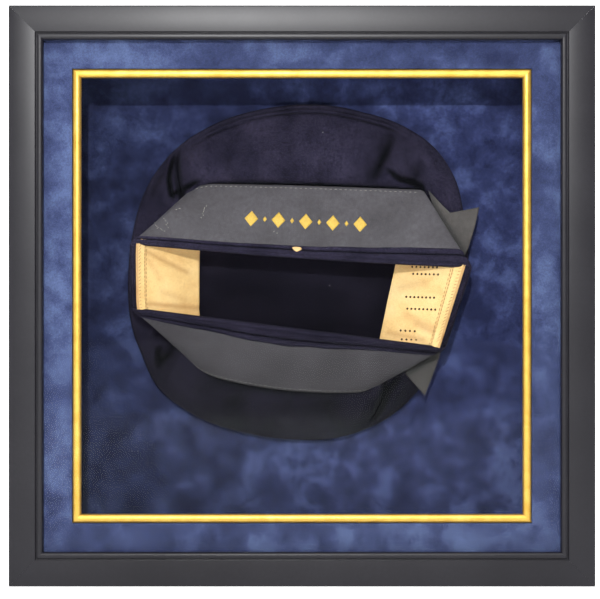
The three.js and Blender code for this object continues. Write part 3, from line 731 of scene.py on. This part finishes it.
# The hem's section: share of its reach from the mouth, and millimetres out from the cloth
hemSection = [
    (-0.02, -0.5), (-0.03, 0.4), (0.0, 1.2), (0.1, 1.9), (0.28, 2.2), (0.46, 1.9), (0.55, 1.1), (0.6, 0.5),
    (0.65, 1.2), (0.72, 1.75), (0.83, 1.85), (0.93, 1.5), (0.985, 1.05), (1, 0.6), (1, -0.9), (0.93, -1.5),
    (0.6, -1.55), (0.3, -1.6), (0.05, -1.7), (-0.01, -1.3),
]
clothFace, outerHem, innerHem = bandFace(0), bandFace(2), bandFace(-2)


# The cloth's face moved in or out, cut square at the mouth like its layers.
def proudFace(u, v, out):
    base = clothFace(u, v)
    return base + ((outerHem if out > 0 else innerHem)(u, v) - base) * abs(out) / 2


def hemPlace(v):
    place = (v % 1) * len(hemSection)
    k = int(place) % len(hemSection)
    ahead = hemSection[(k + 1) % len(hemSection)]
    return [mix(a, b, place - int(place)) for a, b in zip(hemSection[k], ahead)]


def hemFace(u, v):
    share, out = hemPlace(v)
    # the groove fills up where the hem turns the upper right corner
    filled = 0.9 * hump(u % 1, 0.258, 0.012) * hump(share, 0.6, 0.06)
    out += (0.22 * noise.noise(Vector((u * 160, share * 3, 2))) + filled) * (1 if out > 0 else 0)
    return proudFace(u, 1 - share * openTable(hemReach, u % 1) / cap["bandWidth"], out)


# Painted shade on the hem, 0 to 1: in its groove, at its edges and on its inner face.
def hemShade(u, v, point):
    share, out = hemPlace(v)
    if out < 0:
        return 0.3
    return min(1, 0.95 * hump(share, 0.6, 0.05) + 0.9 * hump(share, 1, 0.07) + 0.4 * hump(share, 0.14, 0.05))


hem = clothGrid("rimHem", hemFace, 440, len(hemSection) * 3, hemWool, uvSize=(0.6, 0.03), shade=hemShade)


def closeSection(mesh):
    bmesh.ops.remove_doubles(mesh, verts=mesh.verts, dist=2e-6)
    bmesh.ops.recalc_face_normals(mesh, faces=mesh.faces)


rework(hem, closeSection)
settle(hem, "navy_wool", "rim_welt")

print("stage 5: sweatband")
leatherLayer = -cap["clothWall"] - cap["gap"]
sweatLook = {"tuckLeft": 8, "tuckRight": 1.5, "slope": 0.5, "across": 400, "down": 44, "edgingWidth": 6.4}


# Past the crown seam the leather turns in and down, towards the crown's middle.
def leatherFace(distance):
    face = bandFace(distance)

    def turned(u, v):
        past = max(0, -v) * cap["bandWidth"]
        point = face(u, max(0, v))
        past *= mix(1, sweatLook["tuckRight"] / sweatLook["tuckLeft"], smooth(between(point.x, -20, 30)))
        inward = Vector((cap["crownX"] - point.x, 0.25 * (cap["crownY"] - point.y))).normalized()
        return Vector((point.x + inward.x * past * cos(sweatLook["slope"]),
                       point.y + inward.y * past * cos(sweatLook["slope"]),
                       point.z - past * sin(sweatLook["slope"])))

    return turned


# Creases pressed into the leather: two ends (x, y), spread and depth in millimetres
leatherCreases = [
    ((-105.5, 29), (-78.5, 15), 1.6, 0.7), ((-104, -6.5), (-72, -9.5), 1.8, 0.8),
    ((-96, 2), (-80, -4), 2.5, 0.35), ((76, -20), (97, -30), 2, 0.6), ((70, -14), (92, -24), 2.4, 0.5),
    ((66, 4), (84, 9), 3, 0.35), ((58, -26), (82, -31), 1.8, 0.6), ((-104, 24), (-96, 10), 2, 0.4),
]


# How far a point lies from a line of two ends (x, y), and its share along it
def awayFrom(point, start, end):
    run, rel = Vector(end) - Vector(start), Vector((point.x, point.y)) - Vector(start)
    t = rel.dot(run) / run.length_squared
    return (rel - run * between(t, 0, 1)).length, t


def creaseDepth(point):
    depth = 0
    for start, end, spread, share in leatherCreases:
        away, t = awayFrom(point, start, end)
        depth += share * exp(-(away / spread) ** 2) * (1 if 0 < t < 1 else 0.6)
    return depth


def leatherDents(u, v, point):
    depth = creaseDepth(point) + 0.35 * noise.noise(Vector((point.x / 14, point.y / 14, 3)))
    return depth * smooth(between(v, leatherEnd, 0.82))


# Painted shade on the leather: darker in its creases and close under the hem.
def leatherShade(u, v, point):
    return min(1, 0.8 * creaseDepth(point) + 0.7 * smooth(between(v, 0.9, leatherEnd)))


# Painted shade along both edges of the edging strip.
def edgingShade(u, v, point):
    return 0.75 * hump(v, edgingEnd, 0.012) + 0.4 * hump(v, edgingStart, 0.012)


tuckShare = sweatLook["tuckLeft"] / cap["bandWidth"]
leatherEnd, edgingEnd = 0.935, 0.925
sweatband = clothGrid("sweatbandLeather", leatherFace(leatherLayer), sweatLook["across"], sweatLook["down"],
                      leather, vFrom=-tuckShare, vTo=leatherEnd, lift=leatherDents, uvSize=(0.6, 0.06),
                      shade=leatherShade)
settle(wall(sweatband, cap["leatherWall"]), "tan_leather", "sweatband")
edgingLayer = leatherLayer - cap["leatherWall"] - 0.15
edgingStart = edgingEnd - sweatLook["edgingWidth"] / cap["bandWidth"]
edgingBand = clothGrid("sweatbandEdging", bandFace(edgingLayer), sweatLook["across"], 10, edging,
                       vFrom=edgingStart, vTo=edgingEnd, uvSize=(0.6, 0.0065), shade=edgingShade)
settle(wall(edgingBand, 0.7), "tan_leather", "sweatband_edging")


# Small stitches laid on a face: each is a short rounded thread, set by where it starts and ends.
def stitches(name, pairs, material, slotName, radius=0.28, sink=0.1):
    mesh = bmesh.new()
    for start, end, up in pairs:
        run = end - start
        size = run.length
        along = run.normalized()
        side = up.cross(along).normalized()
        up = along.cross(side)
        made = bmesh.ops.create_uvsphere(mesh, u_segments=6, v_segments=5, radius=1)
        basis = Matrix((side, up, along)).transposed().to_4x4()
        middle = (start + end) / 2 + up * (radius - sink) * mm
        shape = Matrix.Translation(middle) @ basis @ Matrix.Diagonal((radius * mm, radius * mm, size / 2, 1))
        bmesh.ops.transform(mesh, matrix=shape, verts=made["verts"])
    piece = finishMesh(mesh, name, material)
    return settle(piece, slotName)


# Row of stitches on a face at a steady v, slanted by turning each one towards the mouth.
def stitchRow(face, v, uFrom, uTo, pitch, length, slant=0.0, outward=1):
    pairs = []
    u = uFrom
    while u < uTo:
        here = face(u, v)
        ahead = face(u + 0.0005, v)
        speed = (ahead - here).length / 0.0005
        du = length / speed * cos(slant)
        dv = length * sin(slant) / cap["bandWidth"]
        start, end = face(u, v - dv / 2), face(u + du, v + dv / 2)
        up = faceNormal(face, u, v) * outward
        tip = capPoint(*(here + up)) - capPoint(*here)
        pairs.append((capPoint(*start), capPoint(*end), tip.normalized()))
        u += pitch / speed
    return pairs


edgingInner = bandFace(edgingLayer - 0.7)
overcast = []
for low, high in ((0.02, 0.235), (0.505, 0.745)):
    overcast += stitchRow(edgingInner, edgingEnd - 0.03, low, high, 2.3, 2.5, 0.9, -1)
    overcast += stitchRow(edgingInner, edgingStart + 0.012, low, high, 2.5, 1.8, 0, -1)
stitches("edgingStitches", overcast, tanThread, "tan_leather", 0.24)
leatherInner = leatherFace(leatherLayer - cap["leatherWall"])
rowAt = edgingStart - 0.028
running = []
for low, high in ((0.02, 0.235), (0.505, 0.745)):
    running += stitchRow(leatherInner, rowAt, low, high, 3.0, 2.1, 0, -1)
stitches("sweatbandStitches", running, tanThread, "tan_leather", 0.24)

# Rows of small punched holes in the right-hand panel, for air: place along and across, in millimetres
holeRows = [((74.4, 18.8), (90.6, 18.2), 7, 4.8), ((70.4, -1.6), (88.4, -2.2), 8, 8),
            ((66.5, -24.4), (75.6, -24.8), 4, 6)]


# The u and v of a face nearest to a place on the cap, seen from the front.
def spotOn(face, x, y, uRange, vRange, rounds=5):
    (uLow, uHigh), (vLow, vHigh) = uRange, vRange
    for turn in range(rounds):
        best = None
        for i in range(13):
            for j in range(9):
                u, v = mix(uLow, uHigh, i / 12), mix(vLow, vHigh, j / 8)
                point = face(u, v)
                away = hypot(point.x - x, point.y - y)
                if best is None or away < best[0]:
                    best = (away, u, v, point)
        uStep, vStep = (uHigh - uLow) / 10, (vHigh - vLow) / 7
        uLow, uHigh = best[1] - uStep, best[1] + uStep
        vLow, vHigh = best[2] - vStep, best[2] + vStep
    return best


holeMesh = bmesh.new()
for (ax, ay), (bx, by), count, apart in holeRows:
    for row in range(2):
        for i in range(count):
            x = mix(ax, bx, i / (count - 1)) + 0.6 * row
            y = mix(ay, by, i / (count - 1)) - apart * row
            spot = spotOn(leatherInner, x, y, (0.005, 0.245), (-tuckShare, 0.95))
            point, normal = spot[3], -faceNormal(leatherInner, spot[1], spot[2])
            lift = leatherDents(spot[1], spot[2], point)
            middle = capPoint(*(point - normal * (lift - 0.06)))
            up = (capPoint(*(point + normal)) - capPoint(*point)).normalized()
            made = bmesh.ops.create_circle(holeMesh, cap_ends=True, segments=10, radius=0.78 * mm)
            turned = Vector((0, 0, 1)).rotation_difference(up).to_matrix().to_4x4()
            bmesh.ops.transform(holeMesh, matrix=Matrix.Translation(middle) @ turned, verts=made["verts"])
# The holes are thin dark discs on the leather: painted shade that stands in for the holes.
holes = finishMesh(holeMesh, "punchedHoles", holeShade)
settle(wall(holes, 0.15), "tan_leather")

print("stage 6: stitches and the generic motif on the ribbon")
topStitches = stitchRow(liftedRibbon, 0.085, 0.262, 0.49, 3.4, 1.7)
topStitches += stitchRow(liftedRibbon, 0.085, 0.77, 0.985, 3.4, 1.7)
stitches("ribbonStitches", topStitches, paleThread, "ribbon", 0.16, 0.1)


# Rubbed threads: pale broken fibres on the ribbon, as two ends (x, y) and how many in that streak
scratches = [((-65, 61.5), (-68.4, 51.5), 8), ((-82.8, 58.6), (-85.4, 56.8), 4),
             ((-94, 52), (-90.6, 44.6), 5), ((-99.4, 46.5), (-92.6, 42.2), 5),
             ((-101, 50), (-97, 43.4), 4), ((-20, 43), (-17, 40.6), 2)]
fibres = []
for (ax, ay), (bx, by), count in scratches:
    for k in range(count):
        t = (k + 0.5) / count
        x = mix(ax, bx, t) + 2.2 * noise.noise(Vector((ax, k * 3.7, 1)))
        y = mix(ay, by, t) + 0.8 * noise.noise(Vector((ay, k * 2.9, 7)))
        away, u, v, point = spotOn(liftedRibbon, x, y, (0.255, 0.495), (0.06, 0.8), 4)
        here = capPoint(*point)
        up = (capPoint(*(point + faceNormal(ribbonSkin, u, v))) - here).normalized()
        lean = 0.6 * noise.noise(Vector((x, y, 4)))
        size = 0.26 + 0.3 * noise.noise(Vector((y, x, 2)))
        run = Vector((sin(0.35 + lean), 0, cos(0.35 + lean))) * size * mm
        fibres.append((here - run, here + run, up))
stitches("ribbonFibres", fibres, rubbedThread, "ribbon", 0.17, 0.04)

# A worn tear in the hem shows a wedge of the sweatband's leather.
tearLook = {"at": (-3.9, 29.4), "half": (4.8, 1.9), "out": 2.25,
            "spotAt": (73.5, -35.6), "spotHalf": (1.5, 0.9), "spotOut": 1.6}


def hemPatch(name, at, half, out, uRange, material):
    away, u, v, point = spotOn(clothFace, at[0], at[1], uRange, (0.75, 1))
    normal = faceNormal(clothFace, u, v)
    across = (clothFace(u - 0.002, v) - clothFace(u + 0.002, v)).normalized()
    down = across.cross(normal)
    mesh = bmesh.new()
    made = bmesh.ops.create_cone(mesh, cap_ends=True, segments=14, radius1=1, radius2=0.8, depth=0.5)
    for vert in made["verts"]:
        x, y = vert.co.x, vert.co.y
        ragged = 1 + 0.16 * noise.noise(Vector((x * 2, y * 2, 3)))
        place = point + across * x * half[0] * ragged * (0.62 - 0.38 * y) + down * y * half[1] * ragged
        vert.co = capPoint(*(place + normal * (out + vert.co.z)))
    bmesh.ops.recalc_face_normals(mesh, faces=mesh.faces)
    settle(finishMesh(mesh, name, material), "tan_leather")


hemPatch("hemTear", tearLook["at"], tearLook["half"], tearLook["out"], (0.3, 0.45), leather)
hemPatch("hemSpot", tearLook["spotAt"], tearLook["spotHalf"], tearLook["spotOut"], (0.9, 0.99), edging)

motifLook = {"from": 0.326, "to": 0.418, "count": 9, "v": 0.53, "lift": 0.25, "big": (4.8, 6.2),
             "small": (1.4, 2.3)}


# A plain row of embroidered lozenges, large and small by turns.
def lozengeRow():
    mesh = bmesh.new()
    for k in range(motifLook["count"]):
        u = mix(motifLook["from"], motifLook["to"], k / (motifLook["count"] - 1))
        v = motifLook["v"]
        centre = liftedRibbon(u, v)
        normal = faceNormal(ribbonSkin, u, v)
        across = (liftedRibbon(u + 0.002, v) - liftedRibbon(u - 0.002, v)).normalized()
        down = normal.cross(across)
        halfWide, halfTall = motifLook["small"] if k % 2 else motifLook["big"]
        made = bmesh.ops.create_cone(mesh, cap_ends=True, segments=4, radius1=1, radius2=0.78, depth=0.8)
        for vert in made["verts"]:
            place = centre + across * vert.co.x * halfWide + down * vert.co.y * halfTall
            vert.co = capPoint(*(place + normal * (vert.co.z + motifLook["lift"])))
    bmesh.ops.recalc_face_normals(mesh, faces=mesh.faces)
    bmesh.ops.bevel(mesh, geom=mesh.edges[:], offset=0.12 * mm, affect="EDGES", segments=2, profile=0.5,
                    material=-1)
    return settle(finishMesh(mesh, "embroideredLozenges", goldThread), "ribbon")


lozengeRow()

print("stage 7: bow")
bowLook = {"length": 67, "width": 38, "wall": 0.9, "seat": 0.52, "across": 36, "down": 64}
# reach, left, right, lift as shares, and cut for the notch
upperTail = [(0.1, -0.1, 0.1, 1.5, 0), (0.36, -0.14, 0.28, 1.3, 0), (0.62, -0.28, 0.33, 1.22, 0),
             (0.84, -0.44, 0.32, 1.2, 0), (1.04, -0.66, 0.29, 1.2, 0.15)]
lowerTail = [(0.1, -0.1, 0.1, 1.5, 0), (0.34, -0.05, 0.38, 1.3, 0), (0.52, 0, 0.49, 1.26, 0),
             (0.94, 0.03, 0.49, 1.22, 0.14)]
rightMiddle = 0.5 / sideCount
knotSkin = bandFace(0.3 + cap["ribbonWall"])
knotNormal = faceNormal(knotSkin, rightMiddle, bowLook["seat"])
knotCentre = knotSkin(rightMiddle, bowLook["seat"]) + knotNormal * (0.3 + 2.2)


def tailFace(rows, angle, notchAt, curl):
    along = Vector((cos(radians(angle)), sin(radians(angle))))
    rightward = 1 if along.y > 0 else -1
    across = Vector((along.y, -along.x)) * rightward

    def face(u, v):
        place = v * (len(rows) - 1)
        k = min(int(place), len(rows) - 2)
        reach, left, right, lift, cut = [mix(a, b, place - k) for a, b in zip(rows[k], rows[k + 1])]
        notch = cut * (1 - abs(u - notchAt) / max(notchAt, 1 - notchAt))
        at = Vector((knotCentre.x, knotCentre.y)) + along * bowLook["length"] * (reach - notch)
        at += across * bowLook["width"] * mix(left, right, u)
        wave = curl * (0.5 * sin(pi * (u * 1.6 + v)) + 0.8 * noise.noise(Vector((u * 2.2, v * 3, rightward))))
        height = cap["seamHeight"] * lift + bowLook["wall"] + wave * between(v, 0.2, 0.8)
        return Vector((at.x, at.y, height))

    return face


# The tails come out from under the band and the crown along these lines (x, y), and get painted shade beside
# them.
tailEdges = [((82.6, 71.1), (110, 27)), ((69.3, -54.4), (89.3, -42.2))]


def tailShade(u, v, point):
    dark = 0
    for start, end in tailEdges:
        dark = max(dark, 0.9 * exp(-(awayFrom(point, start, end)[0] / 2.6) ** 2))
    return dark


def faceFront(mesh):
    mesh.faces.ensure_lookup_table()
    if mesh.faces[len(mesh.faces) // 2].normal.y > 0:
        bmesh.ops.reverse_faces(mesh, faces=mesh.faces)


for name, node, rows, angle, notchAt in (("bowTailUpper", "bow_tail_upper", upperTail, 72, 0.5),
                                         ("bowTailLower", "bow_tail_lower", lowerTail, 249, 0)):
    tail = clothGrid(name, tailFace(rows, angle, notchAt, 0.5), bowLook["across"], bowLook["down"],
                     tailRibbon, ring=False, uvSize=(0.02, 0.067), shade=tailShade)
    rework(tail, faceFront)
    settle(wall(tail, bowLook["wall"]), "ribbon", node)

# The knot: a short loop of ribbon pulled in round its middle, with the creases that the pull leaves.
knotMesh = bmesh.new()
bmesh.ops.create_uvsphere(knotMesh, u_segments=36, v_segments=22, radius=1)
knotTurn = Vector((0, 0, 1)).rotation_difference(knotNormal).to_matrix()
for vert in knotMesh.verts:
    x, y, z = vert.co
    pinch = 1 - 0.16 * exp(-(x / 0.35) ** 2)
    crease = 1 + 0.05 * sin(9 * atan2(z, y)) * (1 - x * x)
    local = Vector((x * 7.4, y * 6.1 * pinch * crease, z * 2.15 * crease))
    vert.co = capPoint(*(knotCentre + knotTurn @ local))
bmesh.ops.recalc_face_normals(knotMesh, faces=knotMesh.faces)
knot = finishMesh(knotMesh, "bowKnot", tailRibbon)
settle(knot, "ribbon", "bow_knot")

print("stage 8: shadow box")
mouldingLook = {"bead": 3.6, "groove": 1.2, "grooveDepth": 1.4, "slope": 0.3, "round": 0.9,
                "mitreGap": 0.02}


# A mitred length of moulding: the section is drawn as (in from the outer edge, height above the board).
def mitredLength(name, section, distance, half, angle, material, slotName, node, softFrom=30):
    mesh = bmesh.new()
    verts = [mesh.verts.new((u, z, 0)) for u, z in section]
    mesh.faces.new(verts)
    out = bmesh.ops.extrude_face_region(mesh, geom=mesh.faces[:])
    top = [v for v in out["geom"] if isinstance(v, bmesh.types.BMVert)]
    bmesh.ops.translate(mesh, verts=top, vec=(0, 0, 1))
    for vert in mesh.verts:
        u, z, end = vert.co
        reach = half - u - mouldingLook["mitreGap"]
        vert.co = (distance - u, mix(-reach, reach, end), z)
    turned = Matrix.Rotation(radians(angle), 4, "Z")
    stood = Matrix(((1, 0, 0, 0), (0, 0, -1, box["boardFace"]), (0, 1, 0, box["height"] / 2),
                    (0, 0, 0, 1)))
    bmesh.ops.transform(mesh, matrix=Matrix.Scale(mm, 4) @ stood @ turned, verts=mesh.verts)
    bmesh.ops.recalc_face_normals(mesh, faces=mesh.faces)
    piece = finishMesh(mesh, name, material)
    piece.data.set_sharp_from_angle(angle=radians(softFrom))
    return settle(piece, slotName, node)


def arc(cx, cy, rx, ry, fromAngle, toAngle, steps):
    return [(cx + rx * cos(radians(mix(fromAngle, toAngle, k / steps))),
             cy + ry * sin(radians(mix(fromAngle, toAngle, k / steps)))) for k in range(steps + 1)]


def mouldingSection():
    width, front, soft = box["moulding"], box["front"], mouldingLook["round"]
    bead, groove = mouldingLook["bead"], mouldingLook["groove"]
    beadTop = front - mouldingLook["slope"]
    half = bead / 2
    grooveStart = width - bead - groove
    grooveFloor = beadTop - mouldingLook["grooveDepth"]
    section = [(0, box["railBack"]), (box["railWall"], box["railBack"]),
               (box["railWall"], box["lipBack"]), (width, box["lipBack"])]
    section += arc(width - half, beadTop - half, half, half, 0, 90, 10)
    section += arc(width - bead + 0.7, beadTop - 0.7, 0.7, 0.7, 90, 180, 5)
    section += arc(grooveStart + groove / 2, grooveFloor + 0.3, 0.55, 0.4, 0, -180, 6)
    section += arc(grooveStart - 0.35, beadTop - 0.35, 0.35, 0.35, 0, 86, 4)
    return section + arc(soft, front - soft, soft, soft, 90, 180, 8)


filletLook = {"width": 5.5, "height": 4.4}


def filletSection():
    width, height, back = filletLook["width"], filletLook["height"], box["matBack"]
    return [(0, back), (width, back)] + arc(width / 2, back + height / 2, width / 2, height / 2, 0, 180, 16)


outer = (box["width"] / 2, box["height"] / 2)
filletHalf = [half - box["moulding"] - box["matReveal"] - box["filletGap"] for half in outer]
for name, angle in (("Right", 0), ("Top", 90), ("Left", 180), ("Bottom", 270)):
    out = 0 if angle % 180 == 0 else 1
    mitredLength("rail" + name, mouldingSection(), outer[out], outer[1 - out], angle, lacquer,
                 "charcoal_moulding", "frame_" + name.lower())
    mitredLength("fillet" + name, filletSection(), filletHalf[out], filletHalf[1 - out], angle, gilt,
                 "gilt_fillet", "fillet_" + name.lower())

kept = {"glazing": glass, "mat": matSuede, "backing_board": suede, "dust_cover": paper,
        "spacer_right": matSuede, "spacer_top": matSuede, "spacer_left": matSuede, "spacer_bottom": matSuede}
for node, material in kept.items():
    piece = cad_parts[node]
    piece.data.materials.clear()
    piece.data.materials.append(material)

print("stage 9: floor, light and camera")
stageLook = {"floor": 0.93, "glow": 0.5, "world": 0.36}
# name, power in watts, size, place and aim in metres
stageLights = [("keyLight", 25, (0.03, 0.03), (-0.07, -1.435, 0.64), (0, 0, 0.19)),
               ("fillLight", 14, (1.6, 1.6), (-2.4, -1.6, 0.9), (0, 0, 0.19)),
               ("topLight", 70, (3.0, 2.0), (0.2, -1.2, 2.4), (0, -0.2, 0.1))]


def stagePlane(name, size, place, turned):
    mesh = bmesh.new()
    bmesh.ops.create_grid(mesh, x_segments=1, y_segments=1, size=size / 2)
    bmesh.ops.transform(mesh, matrix=Matrix.Translation(place) @ turned, verts=mesh.verts)
    pale = (stageLook["floor"],) * 3
    material = Paint(name).finish(pale, rough=0.9, glowColour=(1, 1, 1), glow=stageLook["glow"])
    finishMesh(mesh, name, material)


stagePlane("floor", 12, Vector((0, 0, 0)), Matrix.Identity(4))
stagePlane("backdrop", 12, Vector((0, 2.5, 3)), Matrix.Rotation(radians(90), 4, "X"))


def softLight(name, power, size, place, aim):
    light = bpy.data.lights.new(name, "AREA")
    light.energy = power
    light.shape = "RECTANGLE"
    light.size, light.size_y = size
    lamp = bpy.data.objects.new(name, light)
    lamp.location = place
    lamp.rotation_euler = (Vector(aim) - Vector(place)).to_track_quat("-Z", "Y").to_euler()
    bpy.context.scene.collection.objects.link(lamp)


# The key is a small lamp near the camera, just too high to be seen in the glass.
for name, power, size, place, aim in stageLights:
    softLight(name, power, size, place, aim)

world = bpy.data.worlds.new("studio")
world.use_nodes = True
glow = world.node_tree.nodes["Background"].inputs
glow["Color"].default_value, glow["Strength"].default_value = (1, 1, 1, 1), stageLook["world"]
bpy.context.scene.world = world
bpy.context.scene.view_settings.view_transform = "Standard"

cameraLook = {"distance": 1000, "focal": 1537, "imageWidth": 600, "middle": (-1.3, -2.3)}
camera = bpy.data.cameras.new("camera")
camera.sensor_width = 36
camera.lens = cameraLook["focal"] / cameraLook["imageWidth"] * camera.sensor_width
cameraBody = bpy.data.objects.new("camera", camera)
cameraBody.location = (cameraLook["middle"][0] * mm,
                       (box["boardFace"] - box["front"] - cameraLook["distance"]) * mm,
                       (box["height"] / 2 + cameraLook["middle"][1]) * mm)
cameraBody.rotation_euler = (radians(90), 0, 0)
bpy.context.scene.collection.objects.link(cameraBody)
bpy.context.scene.camera = cameraBody

print("stage 10: done")
